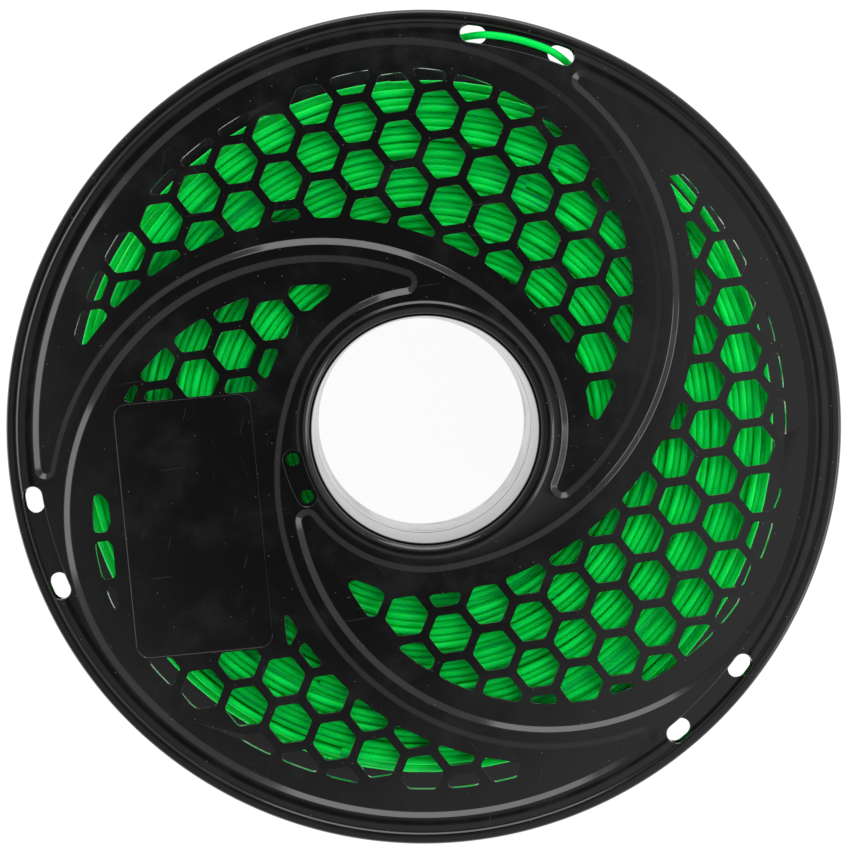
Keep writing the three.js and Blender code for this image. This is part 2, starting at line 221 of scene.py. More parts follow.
# Each direction of scratches: its angle, their width and length, and how high the noise has to rise for one.
SCRATCHES = ((12, 0.5, 12, 0.765), (-38, 0.4, 8, 0.77), (81, 0.5, 15, 0.765))
SCRATCH_SOFTNESS = 0.03


def scratches(tree, place, turn, width, length, edge):
    """Fine straight scratches along one direction: a noise drawn out to their width and length."""
    across = add(tree, "VectorRotate", place, None, math.radians(turn), **ABOUT_AXIS)
    drawn = add(tree, "VectorMath MULTIPLY", across, (1 / width, 1 / length, 1 / length))
    noise = add(tree, "TexNoise", drawn, 1.0, 1.0)
    return add(tree, "MapRange", noise, edge, edge + SCRATCH_SOFTNESS, **SMOOTH)


def plastic_material():
    # Real material: polystyrene or ABS coloured with carbon black and moulded against polished steel.
    # Flat faces mirror whatever hangs above them, edges shine, and the bore is almost a mirror at a slant.
    material, tree, surface = new_material("black moulded plastic")
    surface.inputs["IOR"].default_value = 1.55
    place = millimetres(tree)
    haze = add(tree, "TexNoise", place, 1 / HAZE_PATCHES, 5.0, 0.62)
    haze = add(tree, "MapRange", haze, *HAZE_RANGE, **SMOOTH)
    scratched, *more = (scratches(tree, place, *direction) for direction in SCRATCHES)
    for some in more:
        scratched = add(tree, "Math MAXIMUM", scratched, some)
    # Dust: specks up to 0.3 mm across, where the surface cuts through scattered small balls.
    dust = add(tree, "TexVoronoi", place, 1 / DUST_SPACING).node.outputs["Distance"]
    dust = add(tree, "MapRange", dust, *DUST_EDGE, 1.0, 0.0)
    marks = add(tree, "Math MULTIPLY", scratched, 0.1)
    marks = add(tree, "Math MAXIMUM", marks, dust)
    handled = add(tree, "Mix", haze, linear(0x080809), linear(0x101112), data_type="RGBA")
    colour = add(tree, "Mix", marks, handled, linear(0x5E605E), data_type="RGBA")
    tree.links.new(colour, surface.inputs["Base Color"])
    rough = add(tree, "MapRange", haze, 0.0, 1.0, 0.1, 0.2)
    rough = add(tree, "Math MULTIPLY_ADD", marks, 0.5, rough)
    tree.links.new(rough, surface.inputs["Roughness"])
    # The faces aren't quite flat: where the plastic cooled unevenly they sink by hundredths of a millimetre.
    sunk = add(tree, "TexNoise", place, 1 / SINK_PATCHES, 2.0)
    sunk = add(tree, "Math MULTIPLY_ADD", scratched, -0.05, sunk)
    bump = add(tree, "Bump", named={"Height": sunk, "Distance": SINK_DEPTH * MM, "Strength": 1.0})
    tree.links.new(bump, surface.inputs["Normal"])
    return material


filament = filament_material()
plastic = plastic_material()

# %% [markdown]
# ## The sizes
# These are the sizes of the solids, in millimetres and degrees, with a few finer ones for the rounded
# edges. Heights are measured from the middle of the spool, as the mould maker would, because both halves
# come out of the same mould.

# %% The sizes
MIDDLE = top / 2
OUTER_RADIUS = cad_box[1].x / MM
BORE_RADIUS = 27.2
DRUM_RADIUS = 30.0
SEAM_Z = 0.15
FLANGE_THICKNESS = 3.4
LIP_HEIGHT = 0.3
LEAF_RECESS = 0.8
DRUM_FILLET = 1.5
COLLAR_ROUNDING = 2.3
COLLAR_EDGE = 30.2
LIP_SLOPE = 0.8
LIP_INNER = 97.8
RIM_ROUNDING = 0.9
INNER_RIM_ROUNDING = 0.6
RIM_CROWN = 0.06  # how far the plain ring between the leaves and the lip bulges
CROWN_MARGIN = 1.2  # from the leaves to where the ring starts to bulge
EDGE = 0.25  # rounding of the mould's small edges
EDGE_FLARE = 1.2 * EDGE  # how far the slope of such an edge opens
CUT_OVERLAP = 0.05  # how far a cutter's own shape runs on past the face, so that no faces coincide
SEAM_CHAMFER = 0.3  # where the ends of the two hub tubes meet

LIP_Z = top / 2
ARM_Z = LIP_Z - LIP_HEIGHT
LEAF_Z = ARM_Z - LEAF_RECESS
INNER_Z = LIP_Z - FLANGE_THICKNESS
CUTTER_REACH = 2  # how far the cutters stand out of the flange
CUT_ABOVE = LIP_Z + CUTTER_REACH
CUT_BELOW = INNER_Z - CUTTER_REACH

LEAF_COUNT = 3
THIRD = 360 / LEAF_COUNT
RING_RADIUS = 93.0
HUB_RING_RADIUS = 33.5
ARM_WIDTH = 4.1
SWIRL_OFFSET = (RING_RADIUS - HUB_RING_RADIUS + ARM_WIDTH) / 2
SWIRL_ANGLE = 99.5
RIM_TIP_RADIUS = 1.8
HUB_TIP_RADIUS = 2.2
SLOPE_HALF_WIDTH = 0.6  # the step from an arm down to a leaf is a slope
SLOPE_EASE = 0.2  # it is flatter over its first and last stretch, so wide and so high
SLOPE_EASE_HEIGHT = 0.06

FILAMENT_RADIUS = 0.875
AROUND = 360  # steps of a full turn


# %% Helpers for outlines and closed meshes
def polar(radius, degrees):
    angle = np.radians(degrees)
    return np.stack([radius * np.cos(angle), radius * np.sin(angle)], -1)


def arc(centre, radius, start, end, steps):
    return np.asarray(centre) + polar(radius, np.linspace(start, end, steps + 1))


def bearing(a, b):
    return math.degrees(math.atan2(b[1] - a[1], b[0] - a[0]))


def turned_from(base, degrees):
    return base + (degrees - base) % 360


def closed_mesh(name, points, faces):
    """A closed mesh from points in millimetres measured from the middle of the spool, facing out."""
    mesh = bpy.data.meshes.new(name)
    placed = (np.asarray(points, float) + (0, 0, MIDDLE)) * MM
    mesh.from_pydata(placed.tolist(), [], [list(map(int, f)) for f in faces])
    shell = bmesh.new()
    shell.from_mesh(mesh)
    if shell.calc_volume(signed=True) < 0:
        bmesh.ops.reverse_faces(shell, faces=shell.faces)
        shell.to_mesh(mesh)
    shell.free()
    return in_scene(name, mesh)


def lathe(name, profile):
    """A closed profile of (radius, height) points, anticlockwise, turned about the axis."""
    profile = np.asarray(profile, float)
    count = len(profile)
    angles = np.linspace(0, 2 * np.pi, AROUND, endpoint=False)
    points = [(r * math.cos(a), r * math.sin(a), z) for a in angles for r, z in profile]
    faces = []
    for i in range(AROUND):
        j = (i + 1) % AROUND
        for k in range(count):
            m = (k + 1) % count
            faces.append((i * count + k, j * count + k, j * count + m, i * count + m))
    return closed_mesh(name, points, faces)


def loft(name, levels):
    """A closed solid through outlines, each an (N, 2) array with its height, from the lowest up."""
    count = len(levels[0][0])
    points = np.concatenate([np.column_stack([o, np.full(count, z)]) for o, z in levels])
    faces = [list(range(count))[::-1], list(range(len(points) - count, len(points)))]
    for level in range(len(levels) - 1):
        base = level * count
        for k in range(count):
            m = (k + 1) % count
            faces.append((base + k, base + m, base + count + m, base + count + k))
    return closed_mesh(name, points, faces)


# %% [markdown]
# ## The leaves
# Each flange has three sunken leaves that swirl from the rim to the hub, and the arms are what stays
# between them. A leaf's sides are plain arcs about three centres around the axis, so one function gives
# its outline at any inset. The mould needs a slope down to the leaf, which is why the arms' edges catch
# the light. The cutter for a leaf is a loft through a few such outlines.


# %% The outline of a leaf
def leaf_outline(inset):
    """The first leaf's outline, drawn in by an inset, anticlockwise from its widest place on the rim."""
    rim_tip, hub_tip = RIM_TIP_RADIUS - inset, HUB_TIP_RADIUS - inset
    outer_angle, inner_angle = SWIRL_ANGLE, SWIRL_ANGLE + THIRD
    outer_centre, inner_centre = polar(SWIRL_OFFSET, outer_angle), polar(SWIRL_OFFSET, inner_angle)
    ring, hub = RING_RADIUS - inset, HUB_RING_RADIUS + inset
    outer_side, inner_side = ring - SWIRL_OFFSET, hub + SWIRL_OFFSET

    def tip_centre(from_axis, from_side, side_angle):
        cosine = (from_axis**2 + SWIRL_OFFSET**2 - from_side**2) / (2 * from_axis * SWIRL_OFFSET)
        return polar(from_axis, side_angle - math.degrees(math.acos(cosine)))

    origin = (0.0, 0.0)
    rim_centre = tip_centre(ring - rim_tip, inner_side + rim_tip, inner_angle)
    hub_centre = tip_centre(hub + hub_tip, outer_side - hub_tip, outer_angle)
    rim_end = turned_from(outer_angle, bearing(origin, rim_centre))
    inner_start = bearing(inner_centre, rim_centre)
    tangent = inner_angle - 180
    hub_end = bearing(origin, hub_centre)
    outer_start = bearing(outer_centre, hub_centre)
    return np.concatenate([
        arc(origin, ring, outer_angle, rim_end, 120),
        arc(rim_centre, rim_tip, rim_end, turned_from(rim_end, inner_start + 180), 12)[1:],
        arc(inner_centre, inner_side, turned_from(tangent, inner_start), tangent, 90)[1:],
        arc(origin, hub, tangent, hub_end, 50)[1:],
        arc(hub_centre, hub_tip, hub_end + 180, turned_from(hub_end + 180, outer_start), 12)[1:],
        arc(outer_centre, outer_side, outer_start, outer_angle, 90)[1:-1],
    ])


def spun(outline, degrees):
    angle = math.radians(degrees)
    c, s = math.cos(angle), math.sin(angle)
    return outline @ np.array([[c, s], [-s, c]])


def leaf_cutter(turn):
    side, eased = SLOPE_HALF_WIDTH, SLOPE_HALF_WIDTH + SLOPE_EASE
    steps = [
        (LEAF_Z, eased), (LEAF_Z + SLOPE_EASE_HEIGHT, side),
        (ARM_Z - SLOPE_EASE_HEIGHT, -side), (ARM_Z, -eased), (CUT_ABOVE, -eased),
    ]
    return loft("leaf_cutter", [(spun(leaf_outline(inset), turn), z) for z, inset in steps])


# %% [markdown]
# ## The honeycomb
# The windows of a leaf are hexagons on a regular lattice, cut off at the leaf's border, at the label
# panel, and rounded in every corner. Clipping solids would leave the corners sharp, so Geometry Nodes
# grow each window instead: a ring of points starts at the roomiest spot of its cell, and every point
# runs outward until it meets the nearest wall. Where two walls meet, a smooth maximum rounds the corner,
# as the real mould does. The ring is a small stack of outlines: it widens towards the flange's inner
# face, as the mould's draft does, and opens a little at the leaf's face, which softens the edge.

# %% The honeycomb's sizes
HONEYCOMB_PITCH = 11.36
WINDOW_ACROSS_FLATS = 9.2
HONEYCOMB_ANGLE = -21.75
FIRST_CELL = polar(4.07, 24)
HONEYCOMB_MARGIN = 6.15
HONEYCOMB_INNER_OFFSET = 30.3  # its inner arc comes nearer to the arm towards the rim
WINDOW_CORNER = 0.95
WINDOW_EDGE = 0.04  # depth of a window's opening edge: the photographed ones are crisp
WINDOW_FLARE = 1.3 * WINDOW_EDGE
SMALLEST_DEPTH = 0.4  # how far the roomiest spot of a window lies from its walls
WINDOW_DRAFT = 0.14  # a window is so much wider all round at the flange's inner face
WINDOW_POINTS = 44
PANEL_SIZE = (32.6, 61.0)
PANEL_PLACE = np.array([-55.6, -23.1])
PANEL_TURN = 5.3
PANEL_CORNER = 3.0
PANEL_DEPTH = 0.3
PANEL_DRAFT = 0.1  # its floor is so much smaller all round
PANEL_EDGE = 0.1  # depth of its opening edge
PANEL_FLARE = 0.15
PANEL_BORDER = np.array([3.3, 0.4])  # no window comes nearer to the panel's sides and ends than this


# %% How far a point lies from the edge of its window
SHARPEST_ROUNDED = 3.2  # limits the rounding where two walls meet at less than about sixty degrees
ROUNDING_PER_SINE = 6.0  # how the smooth maximum's reach grows as the corner gets sharper


def rounded_corner(tree, given, one, other):
    """Joins two walls, each a distance and the way out through it, into one that rounds their corner."""
    agree = add(tree, "VectorMath DOT_PRODUCT", one[1], other[1])
    half_sine = add(tree, "Math MULTIPLY_ADD", agree, 0.5, 0.5)
    half_sine = add(tree, "Math SQRT", half_sine)
    blend = add(tree, "Math MULTIPLY_ADD", half_sine, -ROUNDING_PER_SINE, ROUNDING_PER_SINE)
    blend = add(tree, "Math MINIMUM", blend, SHARPEST_ROUNDED)
    blend = add(tree, "Math MULTIPLY", blend, given["Corner radius"])
    distance = add(tree, "Math SMOOTH_MAX", one[0], other[0], blend)
    nearer = add(tree, "FunctionNodeCompare GREATER_THAN", one[0], other[0])
    way_out = add(tree, "GeometryNodeSwitch", nearer, other[1], one[1], input_type="VECTOR")
    return distance, way_out


def cell_walls(tree, given, point, cell):
    from_cell = add(tree, "VectorMath SUBTRACT", point, cell)
    for k in range(3):
        across = (*polar(1.0, 60 * k), 0.0)
        across = add(tree, "VectorRotate", across, None, given["Row angle"], **ABOUT_AXIS)
        along = add(tree, "VectorMath DOT_PRODUCT", from_cell, across)
        sign = add(tree, "Math SIGN", along)
        way_out = add(tree, "VectorMath SCALE", across, sign)
        along = add(tree, "Math ABSOLUTE", along)
        yield add(tree, "Math SUBTRACT", along, given["Half across"]), way_out


def leaf_walls(tree, given, point):
    # Each side arc touches the ring, or the hub's ring, on the line through its centre and the axis:
    # on one side of that line the arc is the border, and on the other side the ring is.
    past = {}
    for side in ("Inner", "Outer"):
        turn = add(tree, "VectorMath CROSS_PRODUCT", given[side + " centre"], point)
        turn = add(tree, "VectorMath DOT_PRODUCT", turn, (0.0, 0.0, 1.0))
        past[side] = add(tree, "FunctionNodeCompare GREATER_THAN", turn, 0.0)
    past["Outer"] = add(tree, "FunctionNodeBooleanMath NIMPLY", past["Outer"], past["Inner"])
    for side, ring, way in (("Outer", "Ring", 1), ("Inner", "Hub ring", -1)):
        borders = []
        side_arc = (given[side + " centre"], given[side + " side"])
        for centre, size in (side_arc, ((0.0, 0.0, 0.0), given[ring])):
            arm = add(tree, "VectorMath SUBTRACT", point, centre)
            length = add(tree, "VectorMath LENGTH", arm)
            way_out = add(tree, "VectorMath NORMALIZE", arm)
            way_out = add(tree, "VectorMath MULTIPLY", way_out, (way, way, way))
            pair = (length, size)[::way]
            borders.append((add(tree, "Math SUBTRACT", *pair), way_out))
        (by_arc, out_of_arc), (by_ring, out_of_ring) = borders
        yield (
            add(tree, "GeometryNodeSwitch", past[side], by_arc, by_ring, input_type="FLOAT"),
            add(tree, "GeometryNodeSwitch", past[side], out_of_arc, out_of_ring, input_type="VECTOR"),
        )


def panel_wall(tree, given, point):
    unturn = add(tree, "Math MULTIPLY", given["Panel turn"], -1.0)
    in_panel = add(tree, "VectorMath SUBTRACT", point, given["Panel centre"])
    in_panel = add(tree, "VectorRotate", in_panel, None, unturn, **ABOUT_AXIS)
    to_middle = add(tree, "VectorMath SIGN", in_panel)
    to_middle = add(tree, "VectorMath MULTIPLY", to_middle, (-1.0, -1.0, 0.0))
    in_panel = add(tree, "VectorMath ABSOLUTE", in_panel)
    room = add(tree, "VectorMath SUBTRACT", given["Panel half size"], in_panel)
    room_x = add(tree, "SeparateXYZ", room)
    room_y = room_x.node.outputs["Y"]
    beside = add(tree, "FunctionNodeCompare LESS_THAN", room_x, room_y)
    mask = add(tree, "GeometryNodeSwitch", beside, (0.0, 1.0, 0.0), (1.0, 0.0, 0.0), input_type="VECTOR")
    way_out = add(tree, "VectorMath MULTIPLY", to_middle, mask)
    way_out = add(tree, "VectorRotate", way_out, None, given["Panel turn"], **ABOUT_AXIS)
    return add(tree, "Math MINIMUM", room_x, room_y), way_out


def window_distance(tree, given, point, cell):
    """Adds the nodes for it and returns the distance: negative inside the window, zero on its edge."""
    joined, *walls = cell_walls(tree, given, point, cell)
    for wall in (*walls, *leaf_walls(tree, given, point), panel_wall(tree, given, point)):
        joined = rounded_corner(tree, given, joined, wall)
    return joined[0]


def repeated(tree, geometry, count, body):
    """A repeat zone: body takes the geometry and the number of the round, and gives the new geometry."""
    start = tree.nodes.new("GeometryNodeRepeatInput")
    end = tree.nodes.new("GeometryNodeRepeatOutput")
    start.pair_with_output(end)
    start.inputs["Iterations"].default_value = count
    tree.links.new(geometry, start.inputs["Geometry"])
    tree.links.new(body(start.outputs["Geometry"], start.outputs["Iteration"]), end.inputs["Geometry"])
    return end.outputs["Geometry"]


# %% The tree that grows the windows
SETTLING_ROUNDS = 26
SETTLING_FADE = 0.82  # each step is so much shorter than the last
GROWING_ROUNDS = 40
GROWING_PACE = 0.9  # the share of the way left that a point goes in a round
PROBE = 0.05  # millimetres between the two ends of a measured slope
ATTRIBUTES = {"cell": "FLOAT_VECTOR", "start": "FLOAT_VECTOR", "travel": "FLOAT", "flare": "FLOAT"}


def stored(tree, geometry, name, value):
    kind = ATTRIBUTES[name]
    return add(tree, "GeometryNodeStoreNamedAttribute", geometry, None, name, value, data_type=kind)


def honeycomb_tree(sizes):
    tree, given = geometry_tree("honeycomb_windows", sizes)
    reach = math.ceil(RING_RADIUS / HONEYCOMB_PITCH) + 4
    lattice = add(tree, "GeometryNodeMeshGrid", 2.0 * reach, 2.0 * reach, 2 * reach + 1, 2 * reach + 1)
    place = add(tree, "GeometryNodeInputPosition")
    column = add(tree, "SeparateXYZ", place)
    row = column.node.outputs["Y"]
    cell = given["First cell"]
    for count, angle in ((column, 0.0), (row, -60.0)):
        step = add(tree, "Math MULTIPLY", count, given["Pitch"])
        heading = (*polar(1.0, angle), 0.0)
        heading = add(tree, "VectorRotate", heading, None, given["Row angle"], **ABOUT_AXIS)
        step = add(tree, "VectorMath SCALE", heading, step)
        cell = add(tree, "VectorMath ADD", cell, step)
    points = add(tree, "GeometryNodeSetPosition", lattice, None, cell)
    points = add(tree, "GeometryNodeMeshToPoints", points)
    here = add(tree, "GeometryNodeInputPosition")
    points = stored(tree, points, "cell", here)
    cell, start, travel, flare = (
        add(tree, "GeometryNodeInputNamedAttribute", name, data_type=kind)
        for name, kind in ATTRIBUTES.items()
    )

    def settle(geometry, number):
        now = window_distance(tree, given, here, cell)
        slopes = []
        for probe in ((PROBE * MM, 0.0, 0.0), (0.0, PROBE * MM, 0.0)):
            beside = add(tree, "VectorMath ADD", here, probe)
            there = window_distance(tree, given, beside, cell)
            slopes.append(add(tree, "Math SUBTRACT", now, there))
        downhill = add(tree, "CombineXYZ", *slopes)
        downhill = add(tree, "VectorMath NORMALIZE", downhill)
        fade = add(tree, "Math POWER", SETTLING_FADE, number)
        stride = add(tree, "Math MULTIPLY", fade, given["Half across"])
        stride = add(tree, "Math MULTIPLY", stride, 0.5)
        move = add(tree, "VectorMath SCALE", downhill, stride)
        return add(tree, "GeometryNodeSetPosition", geometry, None, None, move)

    points = repeated(tree, points, SETTLING_ROUNDS, settle)
    depth = window_distance(tree, given, here, cell)
    least = add(tree, "Math MULTIPLY", given["Smallest depth"], -1.0)
    closed = add(tree, "FunctionNodeCompare GREATER_THAN", depth, least)
    points = add(tree, "GeometryNodeDeleteGeometry", points, closed, domain="POINT")
    points = stored(tree, points, "start", here)
    cutter = add(tree, "GeometryNodeObjectInfo", given["Cutter"]).node.outputs["Geometry"]
    rings = add(tree, "GeometryNodeInstanceOnPoints", points, None, cutter)
    rings = add(tree, "GeometryNodeRealizeInstances", rings)
    rings = stored(tree, rings, "travel", 0.0)

    outward = add(tree, "VectorMath SUBTRACT", here, start)
    height = add(tree, "VectorMath MULTIPLY", outward, (0.0, 0.0, 1.0))
    outward = add(tree, "VectorMath MULTIPLY", outward, (1.0, 1.0, 0.0))
    outward = add(tree, "VectorMath NORMALIZE", outward)
    gone = add(tree, "VectorMath SCALE", outward, travel)
    spot = add(tree, "VectorMath ADD", start, gone)

    def grow(geometry, number):
        left = add(tree, "Math SUBTRACT", flare, window_distance(tree, given, spot, cell))
        further = add(tree, "Math MULTIPLY_ADD", left, GROWING_PACE, travel)
        return stored(tree, geometry, "travel", further)

    rings = repeated(tree, rings, GROWING_ROUNDS, grow)
    final = add(tree, "VectorMath ADD", spot, height)
    rings = add(tree, "GeometryNodeSetPosition", rings, None, final)
    rings = add(tree, "GeometryNodeTransform", rings, named={"Rotation": given["Turn"]})
    rings = add(tree, "GeometryNodeRealizeInstances", rings)
    add(tree, "NodeGroupOutput", rings)
    return tree


def window_cutter():
    """The stack of small rings that every window grows from, with how far each ring flares."""
    levels = [
        (CUT_BELOW, WINDOW_DRAFT), (INNER_Z, WINDOW_DRAFT), (LEAF_Z - WINDOW_EDGE, 0.0),
        (LEAF_Z + 0.3 * WINDOW_EDGE, WINDOW_FLARE), (CUT_ABOVE, WINDOW_FLARE),
    ]
    ring = polar(1.0, np.linspace(0, 360, WINDOW_POINTS, endpoint=False))
    made = loft("window_cutter", [(ring, z) for z, flare in levels])
    flares = made.data.attributes.new("flare", "FLOAT", "POINT")
    flares.data.foreach_set("value", np.repeat([flare * MM for z, flare in levels], WINDOW_POINTS))
    return made


def leaf_sizes(k, cutter):
    """The sizes of a leaf's windows. The last leaf carries the panel."""
    turn = -THIRD * k
    has_panel = k == LEAF_COUNT - 1
    half = (np.array(PANEL_SIZE) / 2 + PANEL_BORDER) if has_panel else np.array([-OUTER_RADIUS] * 2)
    panel = spun(PANEL_PLACE, -turn)
    ring, hub = RING_RADIUS - HONEYCOMB_MARGIN, HUB_RING_RADIUS + HONEYCOMB_MARGIN
    return {
        "Cutter": cutter, "Pitch": HONEYCOMB_PITCH * MM, "Row angle": math.radians(HONEYCOMB_ANGLE),
        "First cell": (*FIRST_CELL * MM, 0.0), "Half across": WINDOW_ACROSS_FLATS / 2 * MM,
        "Ring": ring * MM, "Hub ring": hub * MM, "Outer side": (ring - SWIRL_OFFSET) * MM,
        "Outer centre": (*polar(SWIRL_OFFSET, SWIRL_ANGLE) * MM, 0.0),
        "Inner side": (hub + HONEYCOMB_INNER_OFFSET) * MM,
        "Inner centre": (*polar(HONEYCOMB_INNER_OFFSET, SWIRL_ANGLE + THIRD) * MM, 0.0),
        "Panel centre": (*panel * MM, 0.0), "Panel turn": math.radians(PANEL_TURN - turn),
        "Panel half size": (*half * MM, OUTER_RADIUS * MM), "Corner radius": WINDOW_CORNER * MM,
        "Smallest depth": SMALLEST_DEPTH * MM, "Turn": (0.0, 0.0, math.radians(turn)),
    }


def grow_windows():
    """The cutters of all windows, one object for each leaf."""
    cutter = window_cutter()
    leaves = [leaf_sizes(k, cutter) for k in range(LEAF_COUNT)]
    tree = honeycomb_tree(leaves[0])
    made = [grown("windows", tree, sizes) for sizes in leaves]
    per_window = len(cutter.data.vertices)
    print("windows:", [len(o.data.vertices) / per_window for o in made])
    bpy.data.objects.remove(cutter)
    return made


window_cutters = grow_windows()


# %% [markdown]
# ## One moulded half
# A half is a turned body: flange, rim, collar and half of the hub tube come from one profile spun about
# the axis. Everything else is cut out of it with booleans, as the inserts of the mould would: the leaves,
# their windows, the clip slots in the rim with the trough between them, the label panel, and the pocket
# beside the hub where the strand is anchored. The other half is the same mesh turned over.

# %% The turned body
LIP_RAMP = 10  # steps of a smooth rise


def ramp(start, end):
    """A smooth S from one (radius, height) to another."""
    share = np.linspace(0, 1, LIP_RAMP + 1)
    rise = (1 - np.cos(np.pi * share)) / 2
    return np.column_stack([start[0] + (end[0] - start[0]) * share, start[1] + (end[1] - start[1]) * rise])


def half_body():
    crown = np.linspace(0, 1, 9)
    crown_start, crown_end = RING_RADIUS + CROWN_MARGIN, LIP_INNER - LIP_SLOPE
    crown_profile = np.column_stack([
        crown_start + (crown_end - crown_start) * crown, ARM_Z + RIM_CROWN * np.sin(np.pi * crown) ** 2,
    ])
    chamfer, inner_rim = SEAM_CHAMFER, INNER_RIM_ROUNDING
    return lathe("half_body", np.concatenate([
        [(BORE_RADIUS + chamfer, SEAM_Z), (DRUM_RADIUS - chamfer, SEAM_Z), (DRUM_RADIUS, SEAM_Z + chamfer)],
        arc((DRUM_RADIUS + DRUM_FILLET, INNER_Z - DRUM_FILLET), DRUM_FILLET, 180, 90, 9),
        arc((OUTER_RADIUS - inner_rim, INNER_Z + inner_rim), inner_rim, -90, 0, 9),
        arc((OUTER_RADIUS - RIM_ROUNDING, LIP_Z - RIM_ROUNDING), RIM_ROUNDING, 0, 90, 10),
        ramp((LIP_INNER, LIP_Z), (LIP_INNER - LIP_SLOPE, ARM_Z)),
        crown_profile[::-1][1:],
        ramp((COLLAR_EDGE + LIP_SLOPE, ARM_Z), (COLLAR_EDGE, LIP_Z)),
        arc((BORE_RADIUS + COLLAR_ROUNDING, LIP_Z - COLLAR_ROUNDING), COLLAR_ROUNDING, 90, 180, 12),
        [(BORE_RADIUS, SEAM_Z + chamfer)],
    ]))


# %% The slots, the panel, the pocket and the joint
SLOT_RADIUS = 95.1
SLOT_LENGTH = 6.4
SLOT_WIDTH = 4.4
SLOT_ANGLES = (70.1, 83.1)
TROUGH_Z = ARM_Z - 1.9
ANCHOR_RADIUS = 32.5
ANCHOR_ANGLES = (192.6, 209.4)
ANCHOR_POCKET_WIDTH = 4.6
ANCHOR_POCKET_DEPTH = 1.0
ANCHOR_HOLE_DIAMETER = 3.2
TURN_OVER_ANGLE = 6.7  # direction of the level axis that the lower half is turned over about
TONGUE_COUNT = 3
TONGUE_ANGLE = 30
TONGUE_SPAN = 40
TONGUE_LENGTH = 4
TONGUE_THICKNESS = 1.2
TONGUE_SHY = 0.02  # it stays so far inside the hub's surface, so that no faces coincide
POCKET_SLACK = 1.2  # degrees that a pocket spans more than its tongue
JOINT_REACH = 1.0  # how far a tongue's root runs past the middle, and a pocket's cutter past the hub
FIT_GAP = 0.3


def ring_slot(radius, width, start, end, grow):
    """A stretch of a ring around the axis with round ends, as an outline."""
    half = width / 2 + grow
    return np.concatenate([
        arc((0, 0), radius + half, start, end, 24),
        arc(polar(radius, end), half, end, end + 180, 12)[1:-1],
        arc((0, 0), radius - half, end, start, 24),
        arc(polar(radius, start), half, start + 180, start + 360, 12)[1:-1],
    ])


def flared(outline_at, floor, face):
    """A cutter with walls that open a little at the face that it is sunk from."""
    levels = [
        (floor, 0.0), (face - EDGE, 0.0), (face - 0.4 * EDGE, 0.35 * EDGE),
        (face + CUT_OVERLAP, EDGE_FLARE), (CUT_ABOVE, EDGE_FLARE),
    ]
    return [(outline_at(grow), z) for z, grow in levels]


def through(name, outline):
    return loft(name, [(outline, CUT_BELOW), (outline, CUT_ABOVE)])


def clip_slot_cutters(turn):
    half_slot = math.degrees((SLOT_LENGTH - SLOT_WIDTH) / 2 / SLOT_RADIUS)

    def stretch(first, last, grow=0.0):
        return spun(ring_slot(SLOT_RADIUS, SLOT_WIDTH, first - half_slot, last + half_slot, grow), turn)

    slots = [through("slot_cutter", stretch(angle, angle)) for angle in SLOT_ANGLES]
    trough = flared(lambda grow: stretch(*SLOT_ANGLES, grow), TROUGH_Z, ARM_Z)
    return [*slots, loft("trough_cutter", trough)]


def panel_outline(grow):
    half_x, half_y = np.array(PANEL_SIZE) / 2 + grow - PANEL_CORNER
    corners = [(half_x, half_y, 0), (-half_x, half_y, 90), (-half_x, -half_y, 180), (half_x, -half_y, 270)]
    rounded = [arc((x, y), PANEL_CORNER, start, start + 90, 8) for x, y, start in corners]
    return spun(np.concatenate(rounded), PANEL_TURN) + PANEL_PLACE


def panel_cutter():
    floor, face = LEAF_Z - PANEL_DEPTH, LEAF_Z
    levels = [
        (floor, -PANEL_DRAFT), (face - PANEL_EDGE, 0.0),
        (face + CUT_OVERLAP, PANEL_FLARE), (CUT_ABOVE, PANEL_FLARE),
    ]
    return loft("panel_cutter", [(panel_outline(grow), z) for z, grow in levels])


def anchor_cutters():
    def pocket(grow):
        return ring_slot(ANCHOR_RADIUS, ANCHOR_POCKET_WIDTH, *ANCHOR_ANGLES, grow)

    def hole(angle):
        return arc(polar(ANCHOR_RADIUS, angle), ANCHOR_HOLE_DIAMETER / 2, 0, 360, 32)[1:]

    holes = [through("hole_cutter", hole(angle)) for angle in ANCHOR_ANGLES]
    return [loft("pocket_cutter", flared(pocket, ARM_Z - ANCHOR_POCKET_DEPTH, ARM_Z)), *holes]


def ring_block(angle, span, inside, outside, bottom, top_z):
    outline = np.concatenate([
        arc((0, 0), outside, angle - span / 2, angle + span / 2, 40),
        arc((0, 0), inside, angle + span / 2, angle - span / 2, 40),
    ])
    return loft("ring_block", [(outline, bottom), (outline, top_z)])


def joint_blocks():
    """The tongues that stand out of the hub's end, and the pockets for the other half's tongues."""
    wall = DRUM_RADIUS - TONGUE_THICKNESS
    tongue_end = SEAM_Z - TONGUE_LENGTH
    tongues, pockets = [], []
    for k in range(TONGUE_COUNT):
        turn = 360 / TONGUE_COUNT * k
        pocket_angle = turn + 2 * TURN_OVER_ANGLE - TONGUE_ANGLE
        tongue_angle = turn + TONGUE_ANGLE
        tongues.append(ring_block(
            tongue_angle, TONGUE_SPAN, wall, DRUM_RADIUS - TONGUE_SHY, tongue_end, JOINT_REACH,
        ))
        pockets.append(ring_block(
            pocket_angle, TONGUE_SPAN + POCKET_SLACK,
            wall - FIT_GAP, DRUM_RADIUS + JOINT_REACH, -JOINT_REACH, FIT_GAP - tongue_end,
        ))
    return tongues, pockets


